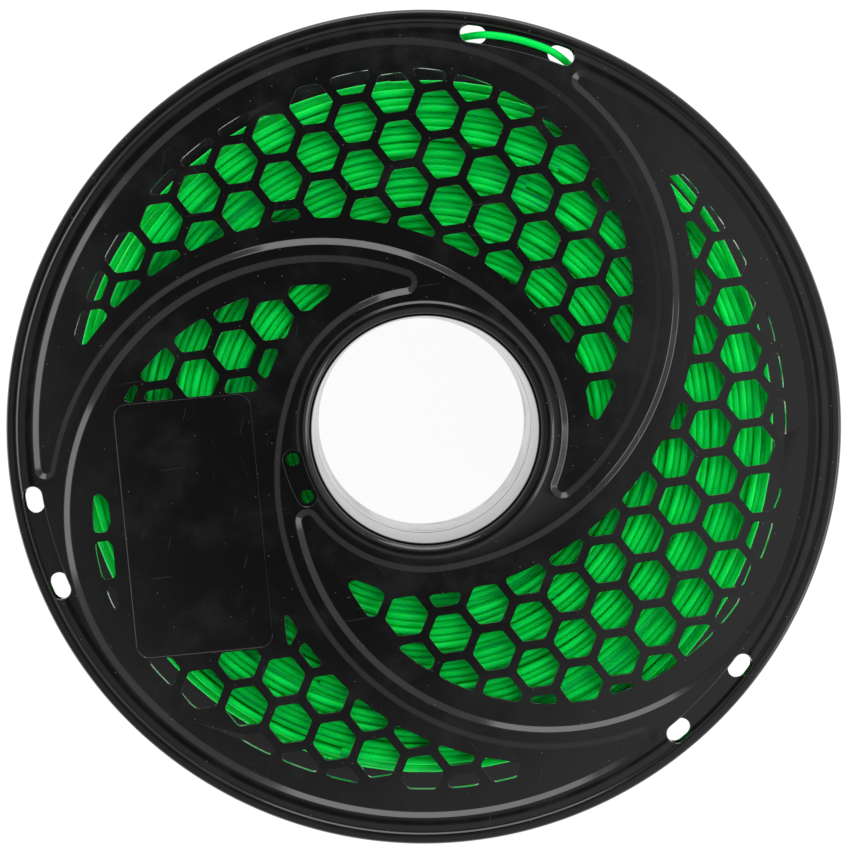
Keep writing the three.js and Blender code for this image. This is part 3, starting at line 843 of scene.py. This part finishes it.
# %% Carving a half
def carved(name, body, joined, cutters):
    """The body with pieces joined and cut, as a plain mesh. The pieces are used up."""
    for piece, operation in [(o, "UNION") for o in joined] + [(o, "DIFFERENCE") for o in cutters]:
        modifier = body.modifiers.new(operation, "BOOLEAN")
        modifier.operation = operation
        modifier.object = piece
        modifier.solver = "MANIFOLD"
        piece.hide_render = True
    evaluated = body.evaluated_get(bpy.context.evaluated_depsgraph_get())
    mesh = bpy.data.meshes.new_from_object(evaluated)
    mesh.name = name
    for used in [body, *joined, *cutters]:
        bpy.data.objects.remove(used)
    return mesh


SHARP_ANGLE = 12  # a sharper edge than this stays an edge in the shading
WELD_DISTANCE = 0.1e-6  # metres


def smooth_by_angle(mesh):
    mesh.polygons.foreach_set("use_smooth", [True] * len(mesh.polygons))
    mesh.set_sharp_from_angle(angle=math.radians(SHARP_ANGLE))


def carve_half():
    turns = [-THIRD * k for k in range(LEAF_COUNT)]
    tongues, pockets = joint_blocks()
    cutters = window_cutters + [leaf_cutter(turn) for turn in turns]
    cutters += [cutter for turn in turns for cutter in clip_slot_cutters(turn)]
    cutters += [panel_cutter(), *anchor_cutters(), *pockets]
    mesh = carved("moulded_half", half_body(), tongues, cutters)
    shell = bmesh.new()
    shell.from_mesh(mesh)
    bmesh.ops.remove_doubles(shell, verts=shell.verts, dist=WELD_DISTANCE)
    bmesh.ops.dissolve_degenerate(shell, edges=shell.edges, dist=WELD_DISTANCE)
    open_edges = sum(not edge.is_manifold for edge in shell.edges)
    shell.to_mesh(mesh)
    shell.free()
    smooth_by_angle(mesh)
    mesh.materials.clear()
    mesh.materials.append(plastic)
    triangles = sum(len(p.vertices) - 2 for p in mesh.polygons)
    print("a half:", triangles, "triangles,", open_edges, "open edges")
    return mesh


def turned_over(mesh):
    """The same mesh turned over about a level axis through the middle of the spool."""
    other = mesh.copy()
    centre = Matrix.Translation((0, 0, MIDDLE * MM))
    axis = (*polar(1.0, TURN_OVER_ANGLE), 0.0)
    other.transform(centre @ Matrix.Rotation(math.pi, 4, axis) @ centre.inverted())
    return other


upper_mesh = carve_half()
for name, node, mesh in (
    ("upper_half", "upper_spool_half", upper_mesh),
    ("lower_half", "lower_spool_half", turned_over(upper_mesh)),
):
    half = in_scene(name, mesh)
    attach(half, "root")
    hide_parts(node)


# %% [markdown]
# ## The winding
# The winder lays the strand in layers that run from one flange to the other and back. At a flange the
# strand fills its turn, climbs over onto the next layer and sets off the other way. So what shows
# through the windows is, layer by layer, a pair of turns joined by a shallow crossing, each at its own
# angle and never quite at the same depth. Geometry Nodes draw such a pair once and repeat it for every
# two layers. A bed of rings lies one turn deeper, the outermost layer is one helix, and a plain ring
# fills the heart of the winding, where nobody looks.

# %% The sizes of the winding
WINDING_RADIUS = 84.3
WINDING_FACE = 24.8
SHOULDER_WIDTH = 3.53
SHOULDER_DEPTH = 3.5
LAYER_PITCH = 1.757
FIRST_FACE_TURN = 82.6
FACE_PAIRS = 15
BED_DEPTH = 2.2
BED_TURNS = 30
HELIX_TURNS = 24
HELIX_REACH = 21.1
CORE_RADIUS = 82.6
CORE_FACE = 21.0
CORE_INNER_RADIUS = 30.6
CORE_BEVEL = (3, 4)  # inwards and down
FACE_HEIGHT = WINDING_FACE - FILAMENT_RADIUS
SIDE_RADIUS = WINDING_RADIUS - FILAMENT_RADIUS
SHOULDER_START = SIDE_RADIUS - SHOULDER_WIDTH
TURN_NOISE = (1.5, 0.0)  # scale round the axis, and detail
HELIX_NOISE = (1.4, 1.0)
NOISE_APART = 3.7  # between two pairs of turns, along the axis of the noise
SINK_RANGE = (0.45, 0.75)  # of the noise, from where a turn starts to sink to where it is down


# %% What the winding's trees share
def line_of_steps(tree, given):
    line = add(tree, "GeometryNodeCurvePrimitiveLine", (0.0, 0.0, 0.0), (1.0, 0.0, 0.0))
    return add(tree, "GeometryNodeResampleCurve", line, None, given["Steps"])


def heading_and_noise(tree, angle, own, scale):
    """The cosine and sine of an angle, and two smooth noises that come back to themselves after a turn."""
    cosine = add(tree, "Math COSINE", angle)
    sine = add(tree, "Math SINE", angle)
    spot = add(tree, "CombineXYZ", cosine, sine, own)
    noise = add(tree, "TexNoise", spot, *scale)
    noise_x = add(tree, "SeparateXYZ", noise.node.outputs["Color"])
    return cosine, sine, noise_x, noise_x.node.outputs["Y"]


def wound_tube(tree, given, path, cosine, sine, radius, height):
    x = add(tree, "Math MULTIPLY", radius, cosine)
    y = add(tree, "Math MULTIPLY", radius, sine)
    place = add(tree, "CombineXYZ", x, y, height)
    return strand_tube(tree, given, add(tree, "GeometryNodeSetPosition", path, None, place))


def strand_tube(tree, given, path):
    """Ends a tree: a round capped strand along every path, smooth, realized and in its material."""
    sizes = {"Resolution": given["Strand sides"], "Radius": given["Strand radius"]}
    section = add(tree, "GeometryNodeCurvePrimitiveCircle", named=sizes)
    tube = add(tree, "GeometryNodeCurveToMesh", path, section, named={"Fill Caps": True})
    tube = add(tree, "GeometryNodeSetShadeSmooth", tube)
    tube = add(tree, "GeometryNodeRealizeInstances", tube)
    tube = add(tree, "GeometryNodeSetMaterial", tube, None, filament)
    add(tree, "NodeGroupOutput", tube)
    return tree


# %% The tree that lays the turns
def winding_tree(sizes):
    tree, given = geometry_tree("winding_turns", sizes)
    line = line_of_steps(tree, given)
    strands = add(tree, "GeometryNodeDuplicateElements", line, None, given["Pairs"], domain="SPLINE")
    number = strands.node.outputs["Duplicate Index"]
    share = add(tree, "GeometryNodeSplineParameter")

    # The angle: every pair starts somewhere else round the axis.
    begin = add(tree, "FunctionNodeRandomValue", 0.0, 2 * math.pi, number, given["Seed"])
    sweep = add(tree, "Math MULTIPLY", given["Turns each"], 2 * math.pi)
    angle = add(tree, "Math MULTIPLY_ADD", share, sweep, begin)

    # Smooth noise lets the turn wander in and out, and sink here and there.
    own = add(tree, "Math MULTIPLY_ADD", number, NOISE_APART, given["Seed"])
    cosine, sine, sway, dip = heading_and_noise(tree, angle, own, TURN_NOISE)
    sway = add(tree, "Math ADD", sway, -0.5)
    sway = add(tree, "Math MULTIPLY", sway, given["Wander"])
    dip = add(tree, "MapRange", dip, *SINK_RANGE, 0.0, given["Sink"])

    # The radius: the first turn lies one pitch further in than the second.
    from_middle = add(tree, "Math ADD", share, -0.5)
    climb = add(tree, "Math DIVIDE", from_middle, given["Crossing"])
    climb = add(tree, "Math ADD", climb, 0.5, use_clamp=True)
    climb = add(tree, "MapRange", climb, 0.0, 1.0, 1.0, 0.0, **SMOOTH)
    inward = add(tree, "Math MULTIPLY_ADD", number, given["Step in"], climb)
    inward = add(tree, "Math MULTIPLY_ADD", inward, given["Pitch"], sway)
    radius = add(tree, "Math SUBTRACT", given["First radius"], inward)

    # The height: lowest where the pair starts and ends, lower for the second turn, which nests between
    # its neighbours, and lower on the winding's round shoulder.
    away = add(tree, "Math ABSOLUTE", from_middle)
    away = add(tree, "Math MULTIPLY", away, given["Turns each"])
    depth = add(tree, "Math MULTIPLY_ADD", away, given["Depth per turn"], dip)
    second = add(tree, "Math SUBTRACT", 1.0, climb)
    depth = add(tree, "Math MULTIPLY_ADD", second, given["Stagger"], depth)
    out = add(tree, "Math SUBTRACT", radius, given["Shoulder start"])
    out = add(tree, "Math DIVIDE", out, given["Shoulder width"], use_clamp=True)
    round_off = add(tree, "Math MULTIPLY", out, out)
    round_off = add(tree, "Math SUBTRACT", 1.0, round_off)
    round_off = add(tree, "Math SQRT", round_off)
    round_off = add(tree, "Math SUBTRACT", 1.0, round_off)
    depth = add(tree, "Math MULTIPLY_ADD", round_off, given["Shoulder depth"], depth)
    height = add(tree, "Math SUBTRACT", given["Face height"], depth)
    height = add(tree, "Math MULTIPLY_ADD", height, given["Side"], MIDDLE * MM)
    return wound_tube(tree, given, strands, cosine, sine, radius, height)


# %% The tree that lays the outermost helix
def helix_tree(sizes):
    tree, given = geometry_tree("outermost_helix", sizes)
    line = line_of_steps(tree, given)
    share = add(tree, "GeometryNodeSplineParameter")
    to_go = add(tree, "Math SUBTRACT", 1.0, share)
    sweep = add(tree, "Math MULTIPLY", given["Turns"], -2 * math.pi)
    angle = add(tree, "Math MULTIPLY_ADD", to_go, sweep, given["End angle"])
    wound = add(tree, "Math MULTIPLY", share, given["Turns"])
    cosine, sine, sag, sway = heading_and_noise(tree, angle, wound, HELIX_NOISE)
    sag = add(tree, "Math MULTIPLY", sag, given["Sag"])
    radius = add(tree, "Math SUBTRACT", given["Radius"], sag)
    sway = add(tree, "Math ADD", sway, -0.5)
    sway = add(tree, "Math MULTIPLY", sway, given["Sway"])
    rise = add(tree, "Math MULTIPLY_ADD", share, 2.0, -1.0)
    height = add(tree, "Math MULTIPLY_ADD", rise, given["Reach"], sway)
    height = add(tree, "Math ADD", height, MIDDLE * MM)
    return wound_tube(tree, given, line, cosine, sine, radius, height)


# %% The winding
def wear_filament(piece, node="filament_winding"):
    """Makes the piece stand for a node of the filament."""
    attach(piece, "root")
    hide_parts(node)
    print(piece.name, sum(len(p.vertices) - 2 for p in piece.data.polygons), "triangles")


def wind_faces():
    shared = {
        "Pitch": LAYER_PITCH * MM, "Face height": FACE_HEIGHT * MM, "Shoulder start": SHOULDER_START * MM,
        "Shoulder width": SHOULDER_WIDTH * MM, "Shoulder depth": SHOULDER_DEPTH * MM,
        "Strand radius": FILAMENT_RADIUS * MM,
    }
    turns = {
        "Pairs": FACE_PAIRS, "Steps": 300, "Turns each": 2.0, "First radius": FIRST_FACE_TURN * MM,
        "Step in": 2.0, "Depth per turn": 0.4 * MM, "Stagger": 0.8 * MM, "Crossing": 0.06,
        "Wander": 0.7 * MM, "Sink": 1.3 * MM,
    }
    bed = {
        "Pairs": BED_TURNS, "Steps": 120, "Turns each": 1.0, "Step in": 1.0, "Depth per turn": 0.0,
        "First radius": (FIRST_FACE_TURN + LAYER_PITCH / 2) * MM, "Crossing": 1.0, "Wander": 0.4 * MM,
        "Stagger": 0.0, "Sink": 0.0, "Face height": (FACE_HEIGHT - BED_DEPTH) * MM,
    }
    pieces = {
        "winding_upper_turns": shared | turns | {"Side": 1.0, "Strand sides": 10, "Seed": 4},
        "winding_upper_bed": shared | bed | {"Side": 1.0, "Strand sides": 10, "Seed": 5},
        "winding_lower_turns": shared | turns | {"Side": -1.0, "Strand sides": 8, "Seed": 11},
        "winding_lower_bed": shared | bed | {"Side": -1.0, "Strand sides": 8, "Seed": 12},
    }
    tree = winding_tree(pieces["winding_upper_turns"])
    for name, sizes in pieces.items():
        wear_filament(grown(name, tree, sizes))


def wind_side():
    sizes = {
        "Turns": float(HELIX_TURNS), "Steps": HELIX_TURNS * 90, "End angle": math.radians(HELIX_END_ANGLE),
        "Radius": SIDE_RADIUS * MM, "Reach": HELIX_REACH * MM, "Sag": 0.25 * MM, "Sway": 0.2 * MM,
        "Strand radius": FILAMENT_RADIUS * MM, "Strand sides": 10,
    }
    wear_filament(grown("winding_outermost_layer", helix_tree(sizes), sizes))


def fill_heart():
    rim, side = CORE_RADIUS - CORE_BEVEL[0], CORE_FACE - CORE_BEVEL[1]
    heart = lathe("winding_heart", [
        (CORE_INNER_RADIUS, -CORE_FACE), (rim, -CORE_FACE), (CORE_RADIUS, -side),
        (CORE_RADIUS, side), (rim, CORE_FACE), (CORE_INNER_RADIUS, CORE_FACE),
    ])
    heart.data.materials.append(filament)
    smooth_by_angle(heart.data)
    wear_filament(heart)


# %% [markdown]
# ## The last turn and the loose end
# The last stretch of the strand leaves the winding, comes up through one clip slot, lies in the trough and
# goes down through the other slot, so that the spool can't unwind by itself. Its route is the solid's own.
# Before it, the last turn wanders slackly round the winding's upper shoulder. That turn belongs to the
# winding, and its points are listed angles and radii that the windows show. One smooth curve runs
# through both stretches, so that they meet without a bend.

# %% The route of the last turn and the loose end
# The last turn lies on the shoulder, and the photograph shows it wander outwards: how many millimetres
# outside the outermost layer it runs, at so many degrees before the strand leaves the winding.
LAST_TURN = ((308, 0.0), (300, 0.0), (266, 1.0), (251, 1.5), (236, 0.9), (215, -0.4), (190, -0.5),
             (134, -0.5), (100, -0.1), (84, 0.2), (44, 0.3), (20, 0.6))
LAST_TURN_RISE = 1.0
LOOSE_END_START = 12  # degrees before the strand leaves the winding
TUCKED_END = ((1, 0.9), (2.5, 1.5), (4, 2.1))  # reaches past the last slot, and millimetres inwards
ROUTE_STEPS = 10  # between two points of the route


def catmull_rom(points, steps):
    """A smooth path through the points, with its pace set by the square root of their distances."""
    points = np.asarray(points, float)
    points = np.concatenate([[2 * points[0] - points[1]], points, [2 * points[-1] - points[-2]]])
    path = []
    for p in (points[i:i + 4] for i in range(len(points) - 3)):
        t = np.cumsum([0, *np.sqrt(np.linalg.norm(np.diff(p, axis=0), axis=1))])
        for now in np.linspace(t[1], t[2], steps, endpoint=False):
            a = [((t[i + 1] - now) * p[i] + (now - t[i]) * p[i + 1]) / (t[i + 1] - t[i]) for i in range(3)]
            b = [((t[i + 2] - now) * a[i] + (now - t[i]) * a[i + 1]) / (t[i + 2] - t[i]) for i in range(2)]
            path.append(((t[2] - now) * b[0] + (now - t[1]) * b[1]) / (t[2] - t[1]))
    return np.array([*path, points[-2]])


def loose_end_route():
    """
    The paths of the last turn and of the loose end, and the angle where the outermost layer ends. A point
    of the route is an angle in degrees, a radius and a height; a reach is the angle of half a slot.
    """
    first, last = SLOT_ANGLES
    on_winding = WINDING_RADIUS + FIT_GAP + FILAMENT_RADIUS
    under = INNER_Z - FIT_GAP - FILAMENT_RADIUS
    in_trough = TROUGH_Z + FIT_GAP + FILAMENT_RADIUS
    halfway = (under + in_trough) / 2
    reach = math.degrees(SLOT_LENGTH / 2 / SLOT_RADIUS)

    def beside(radius):
        return max(radius, on_winding)

    entry = beside(SLOT_RADIUS - 1.2)
    tangent_turn = math.degrees(math.acos(on_winding / entry))
    touch = first - reach - tangent_turn
    run = max(tangent_turn, 4 * reach)
    leave = first - reach - run

    def straight(angle):
        return [angle, on_winding / math.cos(math.radians(max(0, angle - touch))), under]

    begin = LAST_TURN[0][0]
    route = [
        [leave - before, SIDE_RADIUS + outside, HELIX_REACH + LAST_TURN_RISE * (begin - before) / begin]
        for before, outside in LAST_TURN
    ]
    rise = [(0, -0.3, halfway), (0.9, 0.1, in_trough - 0.15), (1.6, 0.3, in_trough)]
    route += [
        [leave - LOOSE_END_START / 2, on_winding - 0.3, under - 0.9],
        *(straight(leave + gone) for gone in (run / 12, run / 3, 2 * run / 3)),
        straight(first - 2 * reach),
        [first - reach, entry, under],
        *([first + along * reach, SLOT_RADIUS + out, z] for along, out, z in rise),
        [(first + last) / 2, SLOT_RADIUS + 0.5, in_trough],
        *([last - along * reach, SLOT_RADIUS + out, z] for along, out, z in rise[::-1]),
        *([last + along * reach, beside(SLOT_RADIUS - inward), under] for along, inward in TUCKED_END),
    ]
    fine = catmull_rom(route, ROUTE_STEPS)
    placed = np.column_stack([polar(fine[:, 1], fine[:, 0]), fine[:, 2]])
    loose = int(np.argmax(fine[:, 0] > leave - LOOSE_END_START))
    return placed[:loose + 1], placed[loose:], leave - LAST_TURN[1][0]


# %% The tree that sheathes a route, and the loose end itself
def route_tree(sizes):
    tree, given = geometry_tree("strand_on_route", sizes)
    route = add(tree, "GeometryNodeObjectInfo", given["Route"]).node.outputs["Geometry"]
    return strand_tube(tree, given, add(tree, "GeometryNodeMeshToCurve", route))


def lay_on_route(name, node, path):
    route = bpy.data.meshes.new("route")
    placed = (path + (0, 0, MIDDLE)) * MM
    route.from_pydata(placed.tolist(), [(i, i + 1) for i in range(len(path) - 1)], [])
    guide = bpy.data.objects.new("route", route)
    sizes = {"Route": guide, "Strand radius": FILAMENT_RADIUS * MM, "Strand sides": 16}
    strand = grown(name, route_tree(sizes), sizes)
    bpy.data.objects.remove(guide)
    wear_filament(strand, node)


last_turn, loose_path, HELIX_END_ANGLE = loose_end_route()
wind_faces()
wind_side()
fill_heart()
lay_on_route("winding_last_turn", "filament_winding", last_turn)
lay_on_route("loose_end", "filament_loose_end", loose_path)

# %% [markdown]
# ## Floor and light
# A plain pale floor carries the spool's shadow. To the camera, and in reflections, it glows a little short
# of white by itself, and the light that falls on it makes up the rest, so that it is white in the open and
# a shade darker in the shadow. The studio is a white sweep around the spool, brightest at its foot, under
# a grey ceiling with a dark card round the camera. Flat black plastic mirrors the card and stays black, and
# every rounded edge mirrors the sweep and shines. One softbox at the right and one at the back make the
# light uneven, as in the photograph, and low strips shine in between the flanges.

# %% The floor
FLOOR_GLOW = 0.95
FLOOR_SHARE = 0.12  # of the light that falls on it, that the camera sees
FLOOR_HALF_WIDTH = 3.0


def backdrop_material():
    # Real material: a matt white sweep of paper or board.
    material, tree, surface = new_material("white backdrop")
    tree.nodes.remove(surface)
    rays = add(tree, "LightPath")
    seen = rays
    for kind in ("Is Glossy Ray", "Is Transmission Ray"):
        seen = add(tree, "Math MAXIMUM", seen, rays.node.outputs[kind])
    plain = add(tree, "BsdfDiffuse", linear(0xE8E8E8))
    dim = add(tree, "BsdfDiffuse", [FLOOR_SHARE] * 3 + [1.0])
    glow = add(tree, "Emission", linear(0xFFFFFF), FLOOR_GLOW)
    bright = add(tree, "AddShader", dim, glow)
    surface = add(tree, "MixShader", seen, plain, bright)
    tree.links.new(surface, tree.nodes["Material Output"].inputs["Surface"])
    return material


def make_floor():
    half = FLOOR_HALF_WIDTH
    corners = [(-half, -half, 0), (half, -half, 0), (half, half, 0), (-half, half, 0)]
    mesh = bpy.data.meshes.new("floor")
    mesh.from_pydata(corners, [], [(0, 1, 2, 3)])
    mesh.materials.append(backdrop_material())
    in_scene("floor", mesh)


make_floor()

# %% The light
HORIZON_STRENGTH = 1.9  # the foot of the sweep is lit most
HORIZON_TOP = 0.1
SWEEP_FOOT = 0.3
SWEEP_STRENGTH = 0.7
SWEEP_LEAN = (0.2, 0.2, 0.0)  # the sweep is stronger towards +Y, as a share of its mean
SWEEP_TOP = 0.45  # the sine of the height at which the white sweep starts to fade
CEILING_START = 0.9
CEILING_STRENGTH = 0.5
CEILING_LEAN = (1.0, 0.0, 0.0)
SHADE_MIDDLE = (-0.02, 0.0, 1.0)  # the camera, its stand and its dark card overhead
SHADE_SHAPE = (1.25, 0.85, 1.0)  # the card is longer along Y than along X
SHADE_EDGE = math.cos(math.radians(13.0))
SHADE_CORE = math.cos(math.radians(6.2))
SHADE_STRENGTH = 0.07


def set_world():
    world = bpy.data.worlds.new("studio")
    bpy.context.scene.world = world
    world.use_nodes = True
    tree = world.node_tree
    background = tree.nodes["Background"]
    direction = add(tree, "TexCoord").node.outputs["Generated"]
    height = add(tree, "SeparateXYZ", direction).node.outputs["Z"]
    mean = add(tree, "MapRange", height, HORIZON_TOP, SWEEP_FOOT, HORIZON_STRENGTH, SWEEP_STRENGTH, **SMOOTH)
    lean = add(tree, "VectorMath DOT_PRODUCT", direction, SWEEP_LEAN)
    sweep = add(tree, "Math MULTIPLY_ADD", lean, mean, mean)
    lean = add(tree, "VectorMath DOT_PRODUCT", direction, CEILING_LEAN)
    ceiling = add(tree, "Math MULTIPLY_ADD", lean, CEILING_STRENGTH, CEILING_STRENGTH)
    strength = add(tree, "MapRange", height, SWEEP_TOP, CEILING_START, sweep, ceiling, **SMOOTH)
    shade = Vector(SHADE_MIDDLE).normalized()
    under_card = add(tree, "VectorMath MULTIPLY", direction, SHADE_SHAPE)
    under_card = add(tree, "VectorMath NORMALIZE", under_card)
    under_card = add(tree, "VectorMath DOT_PRODUCT", under_card, shade)
    strength = add(tree, "MapRange", under_card, SHADE_EDGE, SHADE_CORE, strength, SHADE_STRENGTH, **SMOOTH)
    tree.links.new(strength, background.inputs["Strength"])
    background.inputs["Color"].default_value = linear(0xFFFFFF)


def softbox(name, place, size, radiance):
    """An area lamp that looks at the middle of the spool. White paper in full light has radiance 1."""
    lamp = bpy.data.lights.new(name, "AREA")
    lamp.shape = "RECTANGLE"
    lamp.size, lamp.size_y = size
    lamp.energy = radiance * math.pi * size[0] * size[1]
    made = in_scene(name, lamp)
    aim = (Vector((0, 0, MIDDLE * MM)) - Vector(place)).to_track_quat("-Z", "Y")
    made.matrix_world = Matrix.Translation(place) @ aim.to_matrix().to_4x4()
    made.visible_camera = False


STRIP = (0.4, 0.08)
STRIP_DISTANCE = 0.24
STRIP_HEIGHT = 0.01

set_world()
softbox("softbox at the right", (0.42, -0.12, 0.42), (0.3, 0.3), 2.8)
softbox("softbox at the back", (0.0, 0.62, 0.6), (0.5, 0.5), 3.2)
# Low strips on the floor shine in between the flanges and make the outermost turns glow.
for way in (-STRIP_DISTANCE, STRIP_DISTANCE):
    softbox("strip beside the spool", (way, 0.0, STRIP_HEIGHT), STRIP, 2.0)
    softbox("strip before or behind the spool", (0.0, way, STRIP_HEIGHT), STRIP, 1.5)
bpy.context.scene.view_settings.view_transform = "Standard"
